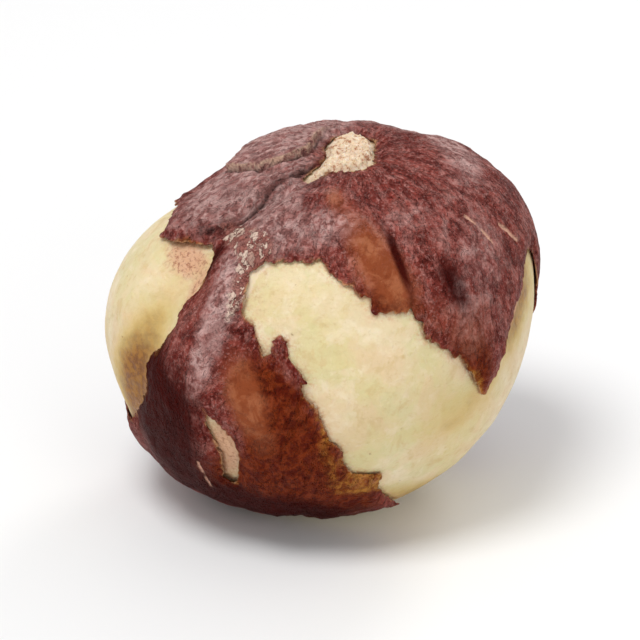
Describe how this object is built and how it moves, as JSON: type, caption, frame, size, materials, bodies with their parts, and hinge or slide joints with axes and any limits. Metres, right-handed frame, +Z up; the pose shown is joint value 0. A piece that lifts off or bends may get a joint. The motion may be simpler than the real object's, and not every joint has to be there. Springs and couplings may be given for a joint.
{
  "type": "hazelnut kernel with skin",
  "caption": "Shelled roasted hazelnut: a round cream kernel with a pale corky scar, in a torn brown papery skin that is rubbed off in wide patches.",
  "frame": {"origin": "on the surface that the nut rests on, under the middle of its bounding box", "axes": "+Z up; -Y faces the picture's camera, and +X is that camera's right; the pale scar is on top, about 12 degrees off +Z"},
  "size_m": [0.0146, 0.014, 0.0127],
  "materials": {
    "kernel": "matte, slightly waxy, cream with golden and faint green mottling; the scar is a pale, pitted buff",
    "skin": "thin papery brown skin, satin, with fine fibres from scar to tip, mauve bloom and worn orange-brown patches"
  },
  "bodies": {
    "root": {"kernel": "kernel", "skin": "skin"}
  },
  "joints": []
}
